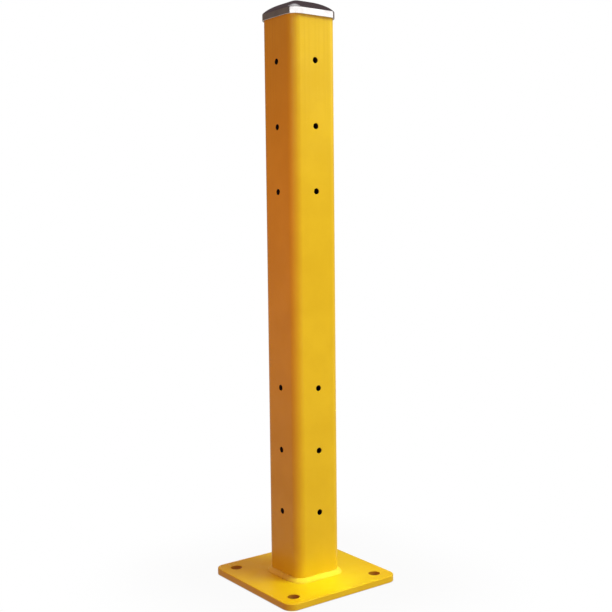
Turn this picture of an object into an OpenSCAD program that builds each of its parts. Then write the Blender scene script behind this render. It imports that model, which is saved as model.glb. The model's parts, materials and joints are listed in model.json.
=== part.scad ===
// Steel safety post for a guard rail: a square tube welded to an anchor plate,
// drilled for two rails on every face, and closed by a pressed push-on cap.
// Millimetres, +Z up, origin at the centre of the plate's underside.
// The -Y face of the tube is the front, and +X is the right.

/* [Post tube] */
// Outside width of the square tube
tube_w = 101.6; // [76:0.1:127]
// Wall thickness of the tube
tube_wall = 6.35; // [3:0.05:9]
// Outside corner radius of the tube
tube_corner_r = 19.05; // [10:0.05:24]
// Height of the tube's top end above the floor
tube_top_z = 1066.8; // [850:0.1:1500]

/* [Rail holes] */
// Diameter of the holes that the rail bolts pass through
rail_hole_d = 11.1; // [8:0.1:16]
// Distance from one hole to the next in a group
rail_hole_pitch = 118; // [60:0.5:145]
// Number of holes in a group, one group to each rail
rail_hole_count = 3; // [2:1:3]
// Height of the lower group's middle hole above the floor
lower_rail_z = 257.5; // [220:0.5:300]
// Distance from the tube's top end down to the upper group's middle hole
upper_rail_drop = 208.8; // [180:0.1:260]

/* [Base plate] */
// Side of the square base plate
plate_w = 254; // [210:1:320]
// Thickness of the base plate
plate_t = 12.7; // [8:0.1:22]
// Corner radius of the base plate
plate_corner_r = 20; // [5:0.5:30]
// Distance from the plate's edges in to each anchor hole's centre
anchor_inset = 31.75; // [18:0.05:40]
// Diameter of the anchor holes
anchor_hole_d = 22.2; // [14:0.1:28]

/* [Weld] */
// Leg of the fillet weld, up the tube and out over the plate
weld_leg = 8; // [4:0.5:12]

/* [Cap] */
// Sheet thickness of the cap
cap_sheet = 2.4; // [1:0.1:3]
// Clearance between the cap's skirt and the tube, on each side
cap_clearance = 0.8; // [0.4:0.1:1.5]
// Depth of the skirt below the cap's rim
cap_skirt_h = 12.7; // [8:0.1:30]
// Rise of the domed crown above the cap's rim
cap_crown_rise = 20.8; // [15:0.1:26]
// Clearance between the crown's inside and the tube's top end
cap_seat_gap = 0.3; // [0.2:0.05:1]

/* [Hidden] */

// Colours of the paint, of the painted weld and of the cap's bare metal
PAINT = [0.93, 0.70, 0.05];
WELD_PAINT = [0.97, 0.80, 0.12];
BARE_METAL = [0.62, 0.60, 0.59];

// Every true circle, and how far a cutter runs past the metal that it cuts
$fn = 96;
CUT_PAST = 1;

// The weld stands this far off the tube, so that their curved faces stay clear
WELD_FIT = 0.05;

// Plate and tube: the tube's corner centres serve the weld and the cap too
anchor_offset = plate_w / 2 - anchor_inset;
upper_rail_z = tube_top_z - upper_rail_drop;
corner_offset = tube_w / 2 - tube_corner_r;
bore_corner_r = max(tube_corner_r - tube_wall, 0.5);

// Cap: the crown is one arc over each side of the square, concentric inside and outside
cap_inner_r = tube_corner_r + cap_clearance;
cap_outer_r = cap_inner_r + cap_sheet;
cap_half = corner_offset + cap_outer_r;
crown_r = (cap_half * cap_half + cap_crown_rise * cap_crown_rise) / (2 * cap_crown_rise);
inner_crown_r = crown_r - cap_sheet;
// Height of the outer rim above the crown arc's centre, and of the crown's inside
// above that centre where it passes over the tube's outer edge
rim_above_centre = crown_r - cap_crown_rise;
seat_above_centre = sqrt(inner_crown_r * inner_crown_r - tube_w * tube_w / 4);
crown_centre_z = tube_top_z + cap_seat_gap - seat_above_centre;
cap_rim_z = crown_centre_z + rim_above_centre;
cap_bottom_z = cap_rim_z - cap_skirt_h;

// A square of the given corner centres, with round corners
module rounded_square(centre_offset, r) {
    half = centre_offset + r;
    square([2 * half, 2 * centre_offset], center = true);
    square([2 * centre_offset, 2 * half], center = true);
    for (x = [-1, 1], y = [-1, 1])
        translate([x * centre_offset, y * centre_offset])
            circle(r = r);
}

// A straight prism on that outline, from one height to another
module rounded_prism(centre_offset, r, from_z, to_z) {
    translate([0, 0, from_z])
        linear_extrude(height = to_z - from_z)
            rounded_square(centre_offset, r);
}

// A round cutter straight through the tube, front to rear or side to side
module cross_hole(turn, z) {
    translate([0, 0, z])
        rotate([0, 0, turn])
            rotate([90, 0, 0])
                cylinder(d = rail_hole_d, h = tube_w + 2 * CUT_PAST, center = true);
}

// Every rail hole: two groups up the tube, and two cross holes at each height
module rail_holes() {
    for (group_z = [lower_rail_z, upper_rail_z])
        for (i = [0 : rail_hole_count - 1])
            for (turn = [0, 90])
                cross_hole(turn, group_z + (i - (rail_hole_count - 1) / 2) * rail_hole_pitch);
}

module base_plate() {
    color(PAINT)
        difference() {
            rounded_prism(plate_w / 2 - plate_corner_r, plate_corner_r, 0, plate_t);
            for (x = [-1, 1], y = [-1, 1])
                translate([x * anchor_offset, y * anchor_offset, -CUT_PAST])
                    cylinder(d = anchor_hole_d, h = plate_t + 2 * CUT_PAST);
        }
}

module post_tube() {
    bore_offset = tube_w / 2 - tube_wall - bore_corner_r;
    color(PAINT)
        difference() {
            rounded_prism(corner_offset, tube_corner_r, plate_t, tube_top_z);
            rounded_prism(bore_offset, bore_corner_r, plate_t - CUT_PAST, tube_top_z + CUT_PAST);
            rail_holes();
        }
}

// The weld's section, measured outwards from the tube's face and up from the plate
module weld_section(face) {
    polygon([[face + WELD_FIT, 0], [face + weld_leg, 0], [face + WELD_FIT, weld_leg - WELD_FIT]]);
}

// The part of the weld that goes round half of a corner, beside a run's side -1 or 1 end
module weld_half_corner(side) {
    reach = tube_corner_r + weld_leg + CUT_PAST;
    intersection() {
        rotate_extrude()
            weld_section(tube_corner_r);
        linear_extrude(height = weld_leg)
            polygon([[0, 0], [0, -reach], [side * reach, -reach]]);
    }
}

// One run of the fillet weld, along one face and half of the corner at each end
module weld_run(turn) {
    color(WELD_PAINT)
        translate([0, 0, plate_t])
            rotate([0, 0, turn]) {
                translate([-corner_offset, 0, 0])
                    rotate([90, 0, 90])
                        mirror([1, 0, 0])
                            linear_extrude(height = 2 * corner_offset)
                                weld_section(tube_w / 2);
                for (side = [-1, 1])
                    translate([side * corner_offset, -corner_offset, 0])
                        weld_half_corner(side);
            }
}

module weld_front() {
    weld_run(0);
}

module weld_right() {
    weld_run(90);
}

module weld_rear() {
    weld_run(180);
}

module weld_left() {
    weld_run(270);
}

// The long cylinder whose top is the crown's arch over two opposite sides
module side_arch(turn, arch_r, half) {
    translate([0, 0, crown_centre_z])
        rotate([0, 0, turn])
            rotate([90, 0, 0])
                cylinder(r = arch_r, h = 2 * half + 2 * CUT_PAST, center = true);
}

// A solid block with straight sides from from_z up and a domed top: one arch over each
// pair of sides, turned about the corner centres so that the rim is level all round
module domed_block(arch_r, corner_r, from_z) {
    half = corner_offset + corner_r;
    height = crown_centre_z + arch_r - from_z;
    intersection() {
        side_arch(0, arch_r, half);
        side_arch(90, arch_r, half);
        translate([0, 0, from_z])
            linear_extrude(height = height + CUT_PAST) {
                square([2 * half, 2 * corner_offset], center = true);
                square([2 * corner_offset, 2 * half], center = true);
            }
    }
    for (x = [-1, 1], y = [-1, 1])
        translate([x * corner_offset, y * corner_offset, 0])
            rotate_extrude()
                intersection() {
                    translate([-corner_offset, crown_centre_z])
                        circle(r = arch_r);
                    translate([0, from_z])
                        square([corner_r, height]);
                }
}

module post_cap() {
    color(BARE_METAL)
        difference() {
            domed_block(crown_r, cap_outer_r, cap_bottom_z);
            domed_block(inner_crown_r, cap_inner_r, cap_bottom_z - CUT_PAST);
        }
}

base_plate();
post_tube();
weld_front();
weld_right();
weld_rear();
weld_left();
post_cap();
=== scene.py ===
"""The looks of the steel safety bollard: a square tube welded to a drilled plate, under a pressed cap."""

import json
import math
import bmesh
import bpy
from mathutils import Matrix, Vector


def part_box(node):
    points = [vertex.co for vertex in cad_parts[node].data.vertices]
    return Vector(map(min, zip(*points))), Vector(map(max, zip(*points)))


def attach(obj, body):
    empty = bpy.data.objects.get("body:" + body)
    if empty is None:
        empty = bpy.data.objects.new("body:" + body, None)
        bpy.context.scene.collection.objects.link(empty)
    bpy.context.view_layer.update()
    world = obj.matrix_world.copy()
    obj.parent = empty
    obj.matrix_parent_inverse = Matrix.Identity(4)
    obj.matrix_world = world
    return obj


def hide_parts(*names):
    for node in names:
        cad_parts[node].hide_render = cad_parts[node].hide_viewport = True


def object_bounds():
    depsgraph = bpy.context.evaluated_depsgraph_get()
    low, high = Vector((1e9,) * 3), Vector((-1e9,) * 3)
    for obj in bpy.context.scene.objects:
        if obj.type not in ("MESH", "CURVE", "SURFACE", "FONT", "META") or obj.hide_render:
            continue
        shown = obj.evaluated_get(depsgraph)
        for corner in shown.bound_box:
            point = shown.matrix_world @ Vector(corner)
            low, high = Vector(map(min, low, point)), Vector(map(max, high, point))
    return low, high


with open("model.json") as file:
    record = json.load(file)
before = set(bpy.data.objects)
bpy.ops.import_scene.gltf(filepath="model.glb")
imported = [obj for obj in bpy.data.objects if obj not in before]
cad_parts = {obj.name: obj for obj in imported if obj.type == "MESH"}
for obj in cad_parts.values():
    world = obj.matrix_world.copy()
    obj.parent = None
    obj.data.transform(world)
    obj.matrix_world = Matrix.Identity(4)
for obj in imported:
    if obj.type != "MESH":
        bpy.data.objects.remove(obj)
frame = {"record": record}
cad_low, cad_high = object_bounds()

# ---- Sizes, in metres: read from the frame where it holds them ----

MM = 0.001

plate_low, plate_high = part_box("base_plate")
tube_low, tube_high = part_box("post_tube")
cap_low, cap_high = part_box("post_cap")
mounts = {mount["name"]: mount for mount in frame["record"]["mounts"]}

PLATE_HALF = plate_high.x
PLATE_TOP = plate_high.z
PLATE_THICKNESS = PLATE_TOP - plate_low.z
PLATE_CORNER_R = 20 * MM
ANCHOR_OFFSET = mounts["anchor_bolts"]["dims"]["spacing_x_mm"] * MM / 2
ANCHOR_HOLE_R = mounts["anchor_bolts"]["dims"]["hole_r_mm"] * MM

TUBE_HALF = tube_high.x
TUBE_WALL = 6.35 * MM
TUBE_CORNER_R = 19.05 * MM
TUBE_CORNER_OFFSET = TUBE_HALF - TUBE_CORNER_R
RAIL_HOLE_R = mounts["front_upper_rail_holes"]["dims"]["hole_r_mm"] * MM

WELD_LEG = 8 * MM

CAP_HALF = cap_high.x
CAP_SHEET = 2.4 * MM
CAP_CROWN_RISE = 20.8 * MM
CAP_CROWN_R = (CAP_HALF**2 + CAP_CROWN_RISE**2) / (2 * CAP_CROWN_RISE)
CAP_CROWN_CENTRE_Z = cap_high.z - CAP_CROWN_R

# Softened edges: rolled plate, drilled holes under paint and the flat rim round each, sawn tube end,
# sheared lip and bent shoulder of the cap
PLATE_EDGE_R = 1.6 * MM
HOLE_EDGE_R = 0.7 * MM
HOLE_RIM = 3 * HOLE_EDGE_R
TUBE_END_EDGE_R = 0.8 * MM
CAP_LIP_R = 0.7 * MM
CAP_SHOULDER_R = 3.2 * MM

# How finely the curved parts are divided
EDGE_STEPS = 4
FLAT_STEPS = 8
CORNER_STEPS = 12


# ---- Mesh helpers ----

class Shape:
    """A mesh put together from grids of points. Points that meet are merged when it is finished."""

    def __init__(self):
        self.mesh = bmesh.new()

    def grid(self, rows, closed=False, material=0):
        """Faces between each row of points and the next; a closed row joins its last point to its first."""
        made = [[self.mesh.verts.new(point) for point in row] for row in rows]
        count = len(rows[0])
        for low, high in zip(made, made[1:]):
            for i in range(count if closed else count - 1):
                j = (i + 1) % count
                face = self.mesh.faces.new((low[i], low[j], high[j], high[i]))
                face.material_index = material

    def fan(self, ring, centre, material=0):
        """Faces from each side of a closed ring of points to one centre point."""
        made = [self.mesh.verts.new(point) for point in ring]
        middle = self.mesh.verts.new(centre)
        for first, second in zip(made, made[1:] + made[:1]):
            face = self.mesh.faces.new((first, second, middle))
            face.material_index = material

    def finish(self, name, materials, body, slot, *nodes):
        """The finished piece, riding on its body in place of its CAD nodes."""
        bmesh.ops.remove_doubles(self.mesh, verts=self.mesh.verts, dist=1e-6)
        bmesh.ops.recalc_face_normals(self.mesh, faces=self.mesh.faces)
        for face in self.mesh.faces:
            face.smooth = True
        data = bpy.data.meshes.new(name)
        self.mesh.to_mesh(data)
        self.mesh.free()
        for material in materials:
            data.materials.append(material)
        piece = bpy.data.objects.new(name, data)
        bpy.context.scene.collection.objects.link(piece)
        piece.modifiers.new("flat_faces_stay_flat", "WEIGHTED_NORMAL")
        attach(piece, body)
        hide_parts(*nodes)
        return piece


def spaced(start, end, steps):
    """Evenly spaced values from start up to, but not including, end."""
    return [start + (end - start) * i / steps for i in range(steps)]


def turned(x, y, side):
    """A point by the front side, turned to the same place by side 0 to 3: front, right, rear or left."""
    for _ in range(side % 4):
        x, y = -y, x
    return x, y


def edge_round(radius):
    """A softened edge, as (distance in from the side, depth below the face) from the face to the side."""
    angles = spaced(0, math.pi / 2, EDGE_STEPS) + [math.pi / 2]
    return [(radius * (1 - math.sin(a)), radius * (1 - math.cos(a))) for a in angles]


def corner_arc(corner_offset, corner_r, side):
    """Points round the corner at a side's right end, up to but not including the next flat side."""
    points = []
    for a in spaced(-math.pi / 2, 0, CORNER_STEPS):
        x = corner_offset + corner_r * math.cos(a)
        y = -corner_offset + corner_r * math.sin(a)
        points.append(turned(x, y, side))
    return points


def outline(corner_offset, corner_r, flat_stops):
    """A rounded square, anticlockwise from the front side's left end. flat_stops divide each flat side."""
    points = []
    for side in range(4):
        points += [turned(u, -corner_offset - corner_r, side) for u in flat_stops]
        points += corner_arc(corner_offset, corner_r, side)
    return points


# Of a drilled block's rows, the ones in the face's paint: the face and the hole's lip. Beyond them the
# plate's hole walls take a darker brown paint, a painted shade inside the holes
PAINTED_ROWS = EDGE_STEPS + 3


def drilled_rows(boundary, centre, hole_r, thickness):
    """Closed rows of (u, v, depth): from the near face's boundary, down through a hole with softened
    edges, and out to the same boundary on the far face."""
    angles = [math.atan2(v - centre[1], u - centre[0]) for u, v in boundary]
    near = [(hole_r + HOLE_RIM, 0)]
    near += [(hole_r + inset, depth) for inset, depth in edge_round(HOLE_EDGE_R)]
    far = [(radius, thickness - depth) for radius, depth in reversed(near)]
    rows = [[(u, v, 0) for u, v in boundary]]
    for radius, depth in near + far:
        rows.append([(centre[0] + radius * math.cos(a), centre[1] + radius * math.sin(a), depth)
                     for a in angles])
    rows.append([(u, v, thickness) for u, v in boundary])
    return rows


# ---- Materials ----

class Nodes:
    """Short ways to add and link the nodes of one tree."""

    def __init__(self, tree):
        self.tree = tree

    def add(self, kind, **values):
        """A node with its properties set."""
        node = self.tree.nodes.new(kind)
        for name, value in values.items():
            setattr(node, name, value)
        return node

    def feed(self, socket, value):
        """Links an output to a socket, or sets the socket to a plain value."""
        if isinstance(value, bpy.types.NodeSocket):
            self.tree.links.new(value, socket)
        else:
            socket.default_value = value

    def ranged(self, value, from_low, from_high, to_low, to_high, interpolation="SMOOTHSTEP"):
        """A value moved from one range to another, and held inside it."""
        node = self.add("ShaderNodeMapRange", interpolation_type=interpolation)
        for socket, number in zip(node.inputs, (value, from_low, from_high, to_low, to_high)):
            self.feed(socket, number)
        return node.outputs["Result"]

    def maths(self, operation, first, second=0):
        """Plain arithmetic on two values, or on the first alone where the operation takes one."""
        node = self.add("ShaderNodeMath", operation=operation)
        self.feed(node.inputs[0], first)
        self.feed(node.inputs[1], second)
        return node.outputs[0]

    def blend(self, factor, first, second):
        """A colour between two others."""
        node = self.add("ShaderNodeMix", data_type="RGBA")
        self.feed(node.inputs[0], factor)
        self.feed(node.inputs[6], first)
        self.feed(node.inputs[7], second)
        return node.outputs[2]

    def parts(self, vector):
        """The X, Y and Z of a vector, by name."""
        node = self.add("ShaderNodeSeparateXYZ")
        self.feed(node.inputs[0], vector)
        return node.outputs

    def ramp(self, value, stops):
        """A colour looked up between (position, colour) stops."""
        node = self.add("ShaderNodeValToRGB")
        self.feed(node.inputs["Fac"], value)
        elements = node.color_ramp.elements
        elements[0].color = stops[0][1]
        elements[1].color = stops[-1][1]
        for position, tint in stops[1:-1]:
            elements.new(position).color = tint
        return node.outputs["Color"]


class Finish(Nodes):
    """A new material, built from noise at places on the piece."""

    def __init__(self, name):
        self.material = bpy.data.materials.new(name)
        self.material.use_nodes = True
        super().__init__(self.material.node_tree)
        self.surface = self.tree.nodes["Principled BSDF"]
        self.place = self.add("ShaderNodeTexCoord").outputs["Object"]

    def stretched(self, x, y, z):
        """The place on the piece, scaled along each axis."""
        node = self.add("ShaderNodeMapping")
        self.feed(node.inputs["Vector"], self.place)
        node.inputs["Scale"].default_value = (x, y, z)
        return node.outputs["Vector"]

    def noise(self, scale, detail=2.0, vector=None):
        """Noise from about 0.25 to 0.75. scale is in cycles to the metre."""
        node = self.add("ShaderNodeTexNoise")
        self.feed(node.inputs["Vector"], self.place if vector is None else vector)
        node.inputs["Scale"].default_value = scale
        node.inputs["Detail"].default_value = detail
        return node.outputs["Fac"]

    def bump(self, height, depth, below=None):
        """Surface relief, depth metres deep, on top of the relief below."""
        node = self.add("ShaderNodeBump")
        node.inputs["Distance"].default_value = depth
        self.feed(node.inputs["Height"], height)
        if below is not None:
            self.feed(node.inputs["Normal"], below)
        return node.outputs["Normal"]


def colour(red, green, blue):
    """A colour with full alpha."""
    return (red, green, blue, 1.0)


# How fine each pattern is, in cycles to the metre, on each axis where it is stretched, and how deep
PAINT_CLOUDS = 14
PAINT_SPECKLE = 900
PAINT_SPECKLE_SHARE = 0.25
PAINT_SMUDGES = 32
PAINT_WAVES = 70
PAINT_WAVE_DEPTH = 0.10 * MM
ORANGE_PEEL = 520
ORANGE_PEEL_DEPTH = 0.035 * MM
# The streaks, fine vertical lines in relief and darker vertical lines in the colour, grow from a share of
# their strength to all of it between two heights
TOP_STREAKS = (210, 210, 0.9)
TOP_STREAK_DEPTH = 0.22 * MM
TOP_STREAKS_GROW = (0.55, 1.0)
TOP_STREAKS_LEAST = 0.15
STEEL_RUST = 45
STEEL_SCALE = 380
STEEL_SCALE_DEPTH = 0.06 * MM
CAP_HAIRLINES = (60, 2600, 2600)
CAP_HAIRLINE_DEPTH = 0.006 * MM
CAP_HAZE = 38
CAP_WAVES = 42
CAP_WAVE_DEPTH = 0.05 * MM


def powder_coat(name, deep, light, streaked=False):
    """Semi-gloss powder coat: orange peel, slow waves, faint clouds in its colour and smudges in its
    gloss. Its last option adds fine vertical lines in relief and darker vertical streaks in the colour,
    which show most near the tube's top."""
    nodes = Finish(name)
    clouds = nodes.noise(PAINT_CLOUDS, detail=3.0)
    speckle = nodes.maths("MULTIPLY", nodes.noise(PAINT_SPECKLE, detail=1.0), PAINT_SPECKLE_SHARE)
    tone = nodes.ranged(nodes.maths("ADD", clouds, speckle), 0.42, 0.85, 0, 1)
    smudges = nodes.noise(PAINT_SMUDGES, detail=4.0)
    relief = nodes.bump(nodes.noise(PAINT_WAVES, detail=1.0), PAINT_WAVE_DEPTH)
    relief = nodes.bump(nodes.noise(ORANGE_PEEL, detail=1.5), ORANGE_PEEL_DEPTH, relief)
    if streaked:
        lines = nodes.noise(1, detail=3.0, vector=nodes.stretched(*TOP_STREAKS))
        height = nodes.parts(nodes.place)["Z"]
        lines = nodes.maths("MULTIPLY", lines, nodes.ranged(height, *TOP_STREAKS_GROW, TOP_STREAKS_LEAST, 1))
        relief = nodes.bump(lines, TOP_STREAK_DEPTH, relief)
        tone = nodes.maths("SUBTRACT", tone, nodes.ranged(lines, 0.45, 0.75, 0, 0.9))
    nodes.feed(nodes.surface.inputs["Base Color"], nodes.blend(tone, deep, light))
    nodes.feed(nodes.surface.inputs["Roughness"], nodes.ranged(smudges, 0.3, 0.7, 0.34, 0.44))
    nodes.feed(nodes.surface.inputs["Normal"], relief)
    nodes.surface.inputs["Specular IOR Level"].default_value = 0.35
    nodes.surface.inputs["Coat Weight"].default_value = 0.20
    nodes.surface.inputs["Coat Roughness"].default_value = 0.22
    return nodes.material


def mill_steel(name):
    """The tube's unpainted inside: dark mill scale with thin rust."""
    nodes = Finish(name)
    rust = nodes.ranged(nodes.noise(STEEL_RUST, detail=5.0), 0.5, 0.68, 0, 1)
    nodes.feed(nodes.surface.inputs["Base Color"],
               nodes.blend(rust, colour(0.035, 0.032, 0.032), colour(0.085, 0.038, 0.018)))
    nodes.feed(nodes.surface.inputs["Roughness"], nodes.ranged(rust, 0, 1, 0.48, 0.85))
    nodes.feed(nodes.surface.inputs["Normal"],
               nodes.bump(nodes.noise(STEEL_SCALE, detail=3.0), STEEL_SCALE_DEPTH))
    nodes.surface.inputs["Metallic"].default_value = 0.35
    return nodes.material


def pressed_metal(name):
    """The cap's bright sheet: fine hairlines, slow press waves and a little handling haze."""
    nodes = Finish(name)
    hairlines = nodes.noise(1, detail=4.0, vector=nodes.stretched(*CAP_HAIRLINES))
    haze = nodes.noise(CAP_HAZE, detail=4.0)
    relief = nodes.bump(nodes.noise(CAP_WAVES, detail=1.0), CAP_WAVE_DEPTH)
    relief = nodes.bump(hairlines, CAP_HAIRLINE_DEPTH, relief)
    nodes.feed(nodes.surface.inputs["Base Color"],
               nodes.blend(nodes.ranged(haze, 0.35, 0.65, 0, 1),
                           colour(0.70, 0.68, 0.67), colour(0.62, 0.59, 0.58)))
    nodes.feed(nodes.surface.inputs["Roughness"], nodes.ranged(haze, 0.3, 0.7, 0.10, 0.22))
    nodes.feed(nodes.surface.inputs["Normal"], relief)
    nodes.surface.inputs["Metallic"].default_value = 1.0
    return nodes.material


tube_paint = powder_coat("tube_powder_coat", colour(0.73, 0.50, 0.011), colour(0.78, 0.55, 0.016),
                         streaked=True)
plate_paint = powder_coat("plate_powder_coat", colour(0.73, 0.50, 0.008), colour(0.78, 0.55, 0.012))
# A painted shade: the plate's yellow darkened to brown for the anchor holes' walls
hole_painted_shade = powder_coat("thin_powder_coat", colour(0.38, 0.17, 0.008), colour(0.46, 0.22, 0.012))
# The welds' coat: the tube's paint made paler and whiter, a painted sheen for the beads' highlights
weld_paint = powder_coat("weld_powder_coat", colour(0.78, 0.62, 0.035), colour(0.86, 0.70, 0.065))
bare_steel = mill_steel("bare_steel_inside")
cap_metal = pressed_metal("bright_cap_metal")


# ---- The anchor plate ----

def plate_point(x, y, depth):
    """A point in the plate, at a depth below its top."""
    return Vector((x, y, PLATE_TOP - depth))


def build_plate():
    """A square plate in blocks: one drilled block in each corner, a strip along each side and a middle."""
    shape = Shape()
    straight = PLATE_HALF - PLATE_CORNER_R
    block = 2 * ANCHOR_OFFSET - PLATE_HALF
    end_steps = FLAT_STEPS // 2
    stops = (spaced(-straight, -block, end_steps) + spaced(-block, block, FLAT_STEPS)
             + spaced(block, straight, end_steps))
    side_count = len(stops) + CORNER_STEPS

    def edge(inset):
        """The plate's outline, moved in from its sides."""
        return outline(straight, PLATE_CORNER_R - inset, stops)

    rim = edge_round(PLATE_EDGE_R)
    rim += [(inset, PLATE_THICKNESS - depth) for inset, depth in reversed(rim)]
    shape.grid([[plate_point(x, y, depth) for x, y in edge(inset)] for inset, depth in rim], closed=True)

    top_edge = edge(PLATE_EDGE_R)
    reach = PLATE_HALF - PLATE_EDGE_R
    across = spaced(-block, block, FLAT_STEPS) + [block]
    outwards = spaced(reach, block, FLAT_STEPS) + [block]
    for side in range(4):
        first = side * side_count + end_steps + FLAT_STEPS
        boundary = [top_edge[(first + i) % len(top_edge)] for i in range(2 * end_steps + CORNER_STEPS)]
        boundary += [turned(u, -block, side) for u in outwards]
        boundary += [turned(block, -u, side) for u in reversed(outwards[1:-1])]
        centre = turned(ANCHOR_OFFSET, -ANCHOR_OFFSET, side)
        rows = [[plate_point(*point) for point in row]
                for row in drilled_rows(boundary, centre, ANCHOR_HOLE_R, PLATE_THICKNESS)]
        shape.grid(rows[:PAINTED_ROWS], closed=True)
        # The anchor holes' walls, in the darker brown paint: a painted shade inside the holes
        shape.grid(rows[PAINTED_ROWS - 1:1 - PAINTED_ROWS], closed=True, material=1)
        shape.grid(rows[-PAINTED_ROWS:], closed=True)
        for depth in (0, PLATE_THICKNESS):
            shape.grid([[plate_point(*turned(u, -v, side), depth) for u in across] for v in outwards])
    for depth in (0, PLATE_THICKNESS):
        shape.grid([[plate_point(x, y, depth) for x in across] for y in across])
    return shape.finish("anchor_plate", [plate_paint, hole_painted_shade], "post", "yellow_paint", "base_plate")


# ---- The tube ----

def rail_hole_heights():
    """Every rail hole's height, from the record's mounts on the front face."""
    heights = []
    for name in ("front_upper_rail_holes", "front_lower_rail_holes"):
        middle = mounts[name]["pos_m"][2]
        reach = mounts[name]["dims"]["spacing_y_mm"] * MM / 2
        heights += [middle - reach, middle, middle + reach]
    return sorted(heights)


def tube_ring(depth, z):
    """The tube's section at a depth below its outside, at one height."""
    stops = spaced(-TUBE_CORNER_OFFSET, TUBE_CORNER_OFFSET, FLAT_STEPS)
    return [Vector((x, y, z)) for x, y in outline(TUBE_CORNER_OFFSET, TUBE_CORNER_R - depth, stops)]


def tube_corner(side, depth, z):
    """The tube's round corner at a side's right end, from one flat face to the next."""
    radius = TUBE_CORNER_R - depth
    points = corner_arc(TUBE_CORNER_OFFSET, radius, side)
    points.append(turned(TUBE_CORNER_OFFSET + radius, -TUBE_CORNER_OFFSET, side))
    return [Vector((x, y, z)) for x, y in points]


def build_tube():
    """Painted outside, bare steel inside. Each flat face has a square block round every hole and plain
    panels between the blocks; corner strips join the faces, and softened rings close both ends."""
    shape = Shape()
    low = tube_low.z + TUBE_END_EDGE_R
    high = tube_high.z - TUBE_END_EDGE_R
    half = TUBE_CORNER_OFFSET
    across = spaced(-half, half, FLAT_STEPS) + [half]
    heights = rail_hole_heights()
    levels = [low]
    for z in heights:
        levels += spaced(z - half, z + half, FLAT_STEPS) + [z + half]
    levels.append(high)

    def face_point(side, u, z, depth):
        """A point on a side's flat face, or at a depth below it."""
        return Vector((*turned(u, depth - TUBE_HALF, side), z))

    surfaces = ((0, 0), (TUBE_WALL, 1))
    for side in range(4):
        for z in heights:
            boundary = [(u, z - half) for u in across[:-1]]
            boundary += [(half, z + v) for v in across[:-1]]
            boundary += [(-u, z + half) for u in across[:-1]]
            boundary += [(-half, z - v) for v in across[:-1]]
            rows = [[face_point(side, *point) for point in row]
                    for row in drilled_rows(boundary, (0, z), RAIL_HOLE_R, TUBE_WALL)]
            shape.grid(rows[:PAINTED_ROWS], closed=True)
            shape.grid(rows[PAINTED_ROWS - 1:], closed=True, material=1)
        gaps = zip([low] + [z + half for z in heights], [z - half for z in heights] + [high])
        for gap_low, gap_high in gaps:
            for depth, material in surfaces:
                panel = [[face_point(side, u, z, depth) for u in across] for z in (gap_low, gap_high)]
                shape.grid(panel, material=material)
        for depth, material in surfaces:
            shape.grid([tube_corner(side, depth, z) for z in levels], material=material)
    lip = edge_round(TUBE_END_EDGE_R)
    over_end = list(reversed(lip)) + [(TUBE_WALL - inset, depth) for inset, depth in lip]
    for end, way in ((tube_low.z, 1), (tube_high.z, -1)):
        shape.grid([tube_ring(inset, end + way * depth) for inset, depth in over_end], closed=True)
    return shape.finish("square_tube", [tube_paint, bare_steel], "post", "yellow_paint", "post_tube")


# ---- The welds ----

# The bead's face swells past a straight slope, and its back sinks into the tube and the plate
WELD_SINK = 0.3 * MM
WELD_BULGE = 1.0 * MM
# Its legs wander along the run in waves: (share of the leg, radians to the metre, shift from run to run)
WELD_WANDER = ((0.035, 170, 1.0), (0.025, 410, 2.3))
# Its ripples bow forward at the middle and drift a little in their pitch, both as shares of a ripple
WELD_RIPPLE = 0.28 * MM
WELD_RIPPLE_PITCH = 2.9 * MM
WELD_RIPPLE_BOW = 0.55
WELD_RIPPLE_DRIFT = 0.15
WELD_RIPPLE_DRIFT_RATE = 90
# Each run's ends are rounded down to a share of its size, and overlap the next run's
WELD_END = 4.5 * MM
WELD_END_SIZE = 0.12
WELD_OVERLAP = 3.4 * MM
WELD_STEP = 0.5 * MM
WELD_SECTION_STEPS = 12


def weld_path(s):
    """A point on the tube's outline and the way out of it, at a distance s along a run from its middle."""
    past = abs(s) - TUBE_CORNER_OFFSET
    if past <= 0:
        return Vector((s, -TUBE_HALF, 0)), Vector((0, -1, 0))
    a = past / TUBE_CORNER_R
    way = Vector((math.copysign(math.sin(a), s), -math.cos(a), 0))
    corner = Vector((math.copysign(TUBE_CORNER_OFFSET, s), -TUBE_CORNER_OFFSET, 0))
    return corner + TUBE_CORNER_R * way, way


def weld_section(s, size, seed):
    """(out, up) points round the bead at s, at a share of its full size: down its face from the tube to
    the plate, then back under it. seed is the run's own number."""
    wander = sum(share * math.sin(rate * s + shift * seed) for share, rate, shift in WELD_WANDER)
    leg = WELD_LEG * size * (1 + wander)
    drift = WELD_RIPPLE_DRIFT * math.sin(WELD_RIPPLE_DRIFT_RATE * s + seed)
    points = []
    for i in range(WELD_SECTION_STEPS + 1):
        t = i / WELD_SECTION_STEPS
        belly = math.sin(math.pi * t)
        phase = (s / WELD_RIPPLE_PITCH + drift - WELD_RIPPLE_BOW * belly) % 1
        scallop = 4 * phase * (1 - phase)
        swell = (WELD_BULGE * belly + WELD_RIPPLE * scallop * math.sqrt(belly)) * size / math.sqrt(2)
        points.append((leg * t + swell - WELD_SINK * (1 - t), leg * (1 - t) + swell - WELD_SINK * t))
    points.append((-WELD_SINK, -WELD_SINK))
    return points


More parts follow.
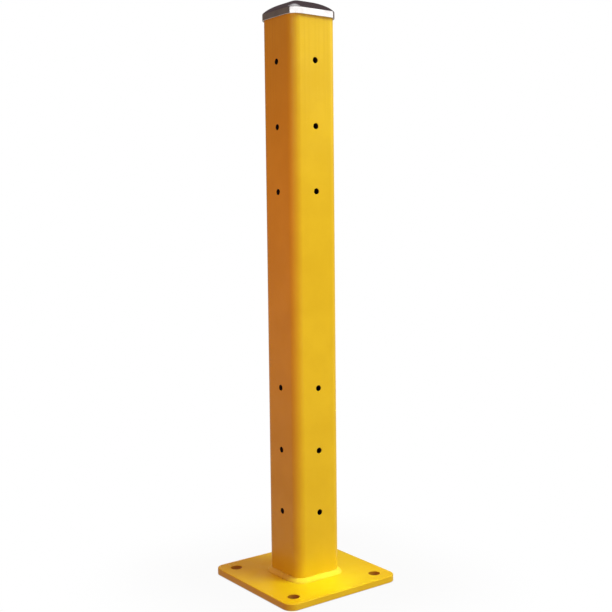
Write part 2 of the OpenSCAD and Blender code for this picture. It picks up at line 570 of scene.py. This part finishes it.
def build_weld(side, name):
    """One run of fillet weld: ripples stacked along a face and half of the corner at each end, with
    rounded ends that lap over the next runs'."""
    shape = Shape()
    reach = TUBE_CORNER_OFFSET + TUBE_CORNER_R * math.pi / 4 + WELD_OVERLAP
    steps = round(2 * reach / WELD_STEP)
    turn = Matrix.Rotation(side * math.pi / 2, 3, "Z")
    rows = []
    for i in range(steps + 1):
        s = -reach + 2 * reach * i / steps
        from_end = min(reach - abs(s), WELD_END) / WELD_END
        size = max(math.sqrt(1 - (1 - from_end) ** 2), WELD_END_SIZE)
        base, way = weld_path(s)
        section = weld_section(s, size, side + 1)
        rows.append([turn @ (base + out * way + Vector((0, 0, PLATE_TOP + up))) for out, up in section])
    shape.grid(rows, closed=True)
    for row in (rows[0], rows[-1]):
        shape.fan(row, sum(row, Vector()) / len(row))
    return shape.finish("weld_bead_" + name, [weld_paint], "post", "weld_paint", "weld_" + name)


# ---- The cap ----

CROWN_STEPS = 22
SHOULDER_STEPS = 6
SKIRT_STEPS = 3
# Near its top the crown's corners have a radius of this share of its half width, reached gradually
CROWN_ROUNDING = 0.30
CROWN_BLEND = 2 * MM


def cap_ring(half, z):
    """The cap's outline at one size and height. Near the crown's top its corners get rounder."""
    sheet_corner = half - TUBE_CORNER_OFFSET
    soft_corner = CROWN_ROUNDING * half
    corner_r = (sheet_corner + soft_corner + math.hypot(sheet_corner - soft_corner, CROWN_BLEND)) / 2
    corner_r = min(corner_r, half)
    offset = half - corner_r
    return [Vector((x, y, z)) for x, y in outline(offset, corner_r, spaced(-offset, offset, FLAT_STEPS))]


def cap_profile(half, crown_r, shoulder_r, lip_z):
    """(half width, height) from the skirt's straight foot, over the shoulder's bend, up the crown's arc."""
    bend_half = half - shoulder_r
    bend_rise = math.sqrt((crown_r - shoulder_r) ** 2 - bend_half**2)
    bend_z = CAP_CROWN_CENTRE_Z + bend_rise
    bend_end = math.atan2(bend_rise, bend_half)
    points = [(half, z) for z in spaced(lip_z, bend_z, SKIRT_STEPS)]
    for a in spaced(0, bend_end, SHOULDER_STEPS):
        points.append((bend_half + shoulder_r * math.cos(a), bend_z + shoulder_r * math.sin(a)))
    for a in spaced(bend_end, math.pi / 2, CROWN_STEPS):
        points.append((crown_r * math.cos(a), CAP_CROWN_CENTRE_Z + crown_r * math.sin(a)))
    return points


def build_cap():
    """A pressed shell: skirt, rolled shoulder and domed crown, the same sheet thickness all over."""
    shape = Shape()
    inner_half = CAP_HALF - CAP_SHEET
    inner_crown_r = CAP_CROWN_R - CAP_SHEET
    lip_z = cap_low.z + CAP_LIP_R
    outside = cap_profile(CAP_HALF, CAP_CROWN_R, CAP_SHOULDER_R, lip_z)
    inside = cap_profile(inner_half, inner_crown_r, CAP_SHOULDER_R - CAP_SHEET, lip_z)
    lip = edge_round(CAP_LIP_R)
    inner_lip = [(inner_half + inset, cap_low.z + rise) for inset, rise in reversed(lip)]
    outer_lip = [(CAP_HALF - inset, cap_low.z + rise) for inset, rise in lip]
    profile = list(reversed(inside)) + inner_lip[1:] + outer_lip[:-1] + outside
    shape.grid([cap_ring(half, z) for half, z in profile], closed=True)
    for half, z, crown_r in ((*inside[-1], inner_crown_r), (*outside[-1], CAP_CROWN_R)):
        shape.fan(cap_ring(half, z), Vector((0, 0, CAP_CROWN_CENTRE_Z + crown_r)))
    return shape.finish("dome_cap", [cap_metal], "cap", "cap_metal", "post_cap")


build_plate()
build_tube()
for side, name in enumerate(("front", "right", "rear", "left")):
    build_weld(side, name)
build_cap()


# ---- The studio ----

WHITE = colour(1.0, 1.0, 1.0)
BLACK = colour(0.0, 0.0, 0.0)

FLOOR_REACH = 20.0
# The floor's glow, by the distance out from the plate's edge: (from, to, what it gains on the way). Where
# the glow is low, round the plate's edge and under it, the floor shows a painted shadow
GLOW_BESIDE = (-0.005, 0.002, 0.96)
GLOW_AWAY = (0.004, 0.30, 0.04)
# The floor's colour under the plate: a painted shadow, seen through the anchor holes
FLOOR_IN_SHADE = colour(0.14, 0.10, 0.08)

# What the object mirrors, from straight down to straight up: pale floor, dim surround, bright ceiling
SURROUND = (
    (0.00, colour(0.62, 0.60, 0.57)),
    (0.45, colour(0.48, 0.45, 0.41)),
    (0.52, colour(0.10, 0.075, 0.06)),
    (0.60, colour(0.16, 0.12, 0.10)),
    (0.70, colour(0.09, 0.065, 0.07)),
    (0.91, colour(0.10, 0.075, 0.08)),
    (0.96, colour(0.80, 0.80, 0.82)),
    (1.00, colour(0.90, 0.90, 0.92)),
)
# A white wall hides that surround in front. Its middle is at this azimuth and elevation. It fades in at
# its sides with the cosine of the angle from there, and at its foot and its top with the sine of the
# elevation
MIRRORED_WALL = colour(1.75, 1.75, 1.75)
WALL_WAY = (4, 8)
WALL_SIDES = (0.08, 0.22)
WALL_FOOT = (0.02, 0.17)
WALL_TOP = (0.32, 0.46)

# The dim light that reaches the object from all round, from straight down to straight up
AMBIENT = (
    (0.0, colour(0.45, 0.24, 0.26)),
    (0.5, colour(0.24, 0.125, 0.16)),
    (1.0, colour(0.45, 0.36, 0.44)),
)


def build_floor():
    """A plain floor, which glows as white as the background except close by the plate and under it, where
    it is darkened as a painted shadow.
    """
    data = bpy.data.meshes.new("floor")
    corners = [(*turned(-FLOOR_REACH, -FLOOR_REACH, side), 0) for side in range(4)]
    data.from_pydata(corners, [], [(0, 1, 2, 3)])
    floor = bpy.data.objects.new("floor", data)
    bpy.context.scene.collection.objects.link(floor)
    nodes = Finish("floor_card")
    across = nodes.parts(nodes.place)
    squares = []
    for axis in ("X", "Y"):
        past = nodes.maths("SUBTRACT", nodes.maths("ABSOLUTE", across[axis]), PLATE_HALF - PLATE_CORNER_R)
        squares.append(nodes.maths("POWER", nodes.maths("MAXIMUM", past, 0), 2))
    from_corner = nodes.maths("SQRT", nodes.maths("ADD", *squares))
    outside = nodes.maths("SUBTRACT", from_corner, PLATE_CORNER_R)
    gains = [nodes.ranged(outside, start, end, 0, gain) for start, end, gain in (GLOW_BESIDE, GLOW_AWAY)]
    glow = nodes.maths("ADD", *gains)
    nodes.feed(nodes.surface.inputs["Base Color"], nodes.blend(glow, FLOOR_IN_SHADE, BLACK))
    nodes.feed(nodes.surface.inputs["Emission Strength"], glow)
    nodes.surface.inputs["Emission Color"].default_value = WHITE
    nodes.surface.inputs["Roughness"].default_value = 0.9
    nodes.surface.inputs["Specular IOR Level"].default_value = 0.0
    data.materials.append(nodes.material)
    floor.visible_diffuse = False
    floor.visible_glossy = False


def way_to(azimuth, elevation):
    """A direction away from the post. Azimuth 0 is in front and 90 is on the right, in degrees."""
    a = math.radians(azimuth)
    e = math.radians(elevation)
    return Vector((math.sin(a) * math.cos(e), -math.cos(a) * math.cos(e), math.sin(e)))


def build_world():
    """White behind the object. What it mirrors is a pale floor, a white wall in front, a dim surround
    and a bright ceiling; what lights it from all round is dim and warm."""
    world = bpy.data.worlds.new("studio")
    bpy.context.scene.world = world
    world.use_nodes = True
    world.node_tree.nodes.clear()
    nodes = Nodes(world.node_tree)
    way = nodes.add("ShaderNodeTexCoord").outputs["Generated"]
    rise = nodes.parts(way)["Z"]
    lift = nodes.ranged(rise, -1, 1, 0, 1, interpolation="LINEAR")
    front = nodes.add("ShaderNodeVectorMath", operation="DOT_PRODUCT")
    nodes.feed(front.inputs[0], way)
    front.inputs[1].default_value = way_to(*WALL_WAY)
    ahead = nodes.ranged(front.outputs["Value"], *WALL_SIDES, 0, 1)
    above = nodes.ranged(rise, *WALL_FOOT, 0, 1)
    below = nodes.ranged(rise, *WALL_TOP, 1, 0)
    wall = nodes.maths("MULTIPLY", nodes.maths("MULTIPLY", ahead, above), below)
    mirrored = nodes.blend(wall, nodes.ramp(lift, SURROUND), MIRRORED_WALL)
    path = nodes.add("ShaderNodeLightPath")
    seen = nodes.blend(path.outputs["Is Glossy Ray"], nodes.ramp(lift, AMBIENT), mirrored)
    seen = nodes.blend(path.outputs["Is Camera Ray"], seen, WHITE)
    background = nodes.add("ShaderNodeBackground")
    nodes.feed(background.inputs["Color"], seen)
    nodes.feed(nodes.add("ShaderNodeOutputWorld").inputs["Surface"], background.outputs[0])


def softbox(name, azimuth, distance, height, aim, size, power, tint, spread=180):
    """A square area light on a stand, aimed at a point, that gloss doesn't mirror. azimuth is as for
    way_to, power is in watts, and spread is how widely it shines, in degrees."""
    data = bpy.data.lights.new(name, "AREA")
    data.size = size
    data.energy = power
    data.color = tint
    data.spread = math.radians(spread)
    lamp = bpy.data.objects.new(name, data)
    lamp.location = distance * way_to(azimuth, 0) + Vector((0, 0, height))
    lamp.rotation_euler = (lamp.location - Vector(aim)).to_track_quat("Z", "Y").to_euler()
    lamp.visible_glossy = False
    lamp.visible_camera = False
    bpy.context.scene.collection.objects.link(lamp)


def build_lights():
    """Two keys from the front right, the nearer one high over the plate; a low light in front, a warm one
    by the plate's left side, a narrow one on the plate before the weld, and warm fills at the right and
    behind."""
    middle = (0, 0, cad_high.z / 2)
    foot = (0, 0, 0)
    before_weld = (-0.005, -0.10, 0)
    # Name, azimuth, distance, height, aim, size, power and tint
    softbox("key", 50, 2.0, 2.3, middle, 1.3, 12, (0.94, 1.0, 0.52))
    softbox("key_high", 38, 1.3, 2.7, middle, 1.0, 52, (0.92, 1.0, 0.52))
    softbox("front_low", 8, 1.5, 0.30, foot, 0.6, 8, (1.0, 0.90, 0.50))
    softbox("left_low", -80, 0.9, 0.8, foot, 0.6, 3.2, (1.0, 0.22, 0.25))
    softbox("plate_spot", 20, 0.19, 2.3, before_weld, 0.10, 0.032, (0.45, 1.0, 0.05), spread=5)
    softbox("right_fill", 98, 2.4, 0.6, middle, 1.4, 14, (1.0, 0.60, 0.45))
    softbox("rear_fill", 155, 2.4, 0.55, middle, 1.0, 26, (1.0, 0.84, 0.62))


def build_camera():
    """The viewpoint: in front and to the left of the post, at a little over half of its height."""
    azimuth, distance, height = -36.24, 1.846, 0.68624
    heading, dip, roll = azimuth - 0.263, 4.958, -0.635
    data = bpy.data.cameras.new("camera")
    data.sensor_width = 36
    data.lens = 57.63
    camera = bpy.data.objects.new("camera", data)
    a = math.radians(azimuth)
    place = Matrix.Translation((distance * math.sin(a), -distance * math.cos(a), height))
    aim = Matrix.Rotation(math.radians(heading), 4, "Z")
    aim = aim @ Matrix.Rotation(math.radians(90 - dip), 4, "X")
    aim = aim @ Matrix.Rotation(math.radians(roll), 4, "Z")
    camera.matrix_world = place @ aim
    bpy.context.scene.collection.objects.link(camera)
    bpy.context.scene.camera = camera


build_floor()
build_world()
build_lights()
build_camera()
bpy.context.scene.view_settings.view_transform = "Standard"
